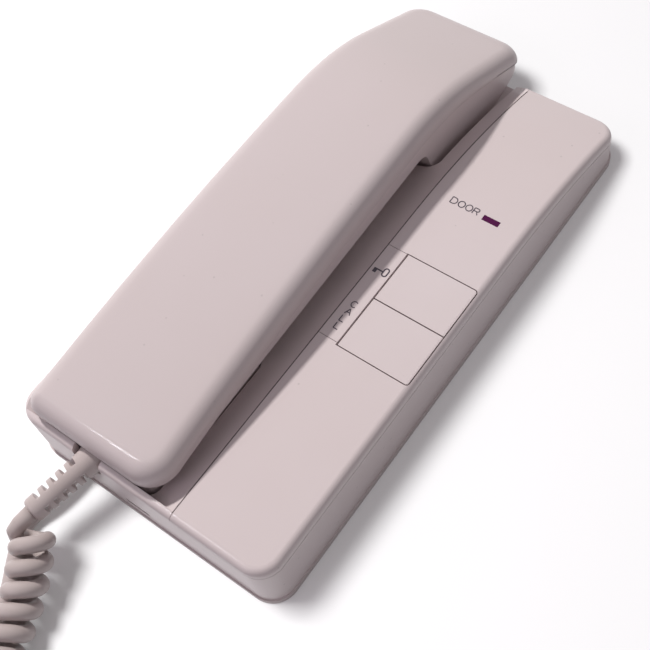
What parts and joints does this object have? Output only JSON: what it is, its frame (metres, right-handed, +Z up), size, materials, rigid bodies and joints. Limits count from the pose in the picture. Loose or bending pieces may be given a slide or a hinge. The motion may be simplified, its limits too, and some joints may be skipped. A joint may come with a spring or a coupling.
{
  "type": "desk intercom",
  "caption": "Off-white desk and wall intercom station with a handset in a cradle, two flush press buttons, an indicator lamp and a curly cord.",
  "frame": {"origin": "centre of the base's underside", "axes": "+X across the base towards the face plate, +Y along the base towards the earpiece end, +Z up out of the face"},
  "size_m": [0.1334, 0.3183, 0.0404],
  "materials": {
    "case_plastic": "satin",
    "plate_plastic": "matte",
    "button_plastic": "satin",
    "label_plastic": "satin",
    "lens_plastic": "glossy",
    "board": "satin",
    "dark_plastic": "matte",
    "terminal_plastic": "matte",
    "steel": "brushed",
    "cord_rubber": "satin"
  },
  "bodies": {
    "base": {"back_plate": "plate_plastic", "front_housing": "case_plastic", "case_screws": "steel", "face_plate": "case_plastic", "label_strip": "label_plastic", "call_spring": "steel", "door_spring": "steel", "push_switches": "dark_plastic", "led_lens": "lens_plastic", "indicator_lamp": "lens_plastic", "circuit_board": "board", "board_screws": "steel", "call_buzzer": "dark_plastic", "capacitors": "dark_plastic", "terminal_block": "terminal_plastic", "terminal_screws": "steel", "hook_spring": "steel", "hook_switch": "dark_plastic", "cord_grommet": "cord_rubber", "handset_cord": "cord_rubber"},
    "call_key": {"call_button": "button_plastic"},
    "door_key": {"door_button": "button_plastic"},
    "hook": {"hook_plunger": "case_plastic"},
    "handset": {"handset_shell": "case_plastic", "handset_inner": "case_plastic", "handset_screws": "steel", "earpiece": "dark_plastic", "microphone": "dark_plastic", "ballast": "steel", "strain_relief": "cord_rubber"}
  },
  "joints": [
    {"name": "handset_lift", "type": "slide", "parent": "base", "child": "handset", "axis": [0, 0, 1], "range_m": [0, 0.06]},
    {"name": "hook_rise", "type": "slide", "parent": "base", "child": "hook", "axis": [0, 0, 1], "range_m": [0, 0.003], "deforming": ["hook_spring"]},
    {"name": "call_press", "type": "slide", "parent": "base", "child": "call_key", "axis": [0, 0, -1], "range_m": [0, 0.0012], "stiffness_N_per_m": 600, "deforming": ["call_spring"]},
    {"name": "door_press", "type": "slide", "parent": "base", "child": "door_key", "axis": [0, 0, -1], "range_m": [0, 0.0012], "stiffness_N_per_m": 600, "deforming": ["door_spring"]}
  ],
  "couplings": [
    {"joint": "hook_rise", "follows": "handset_lift", "ratio": 0.05}
  ]
}
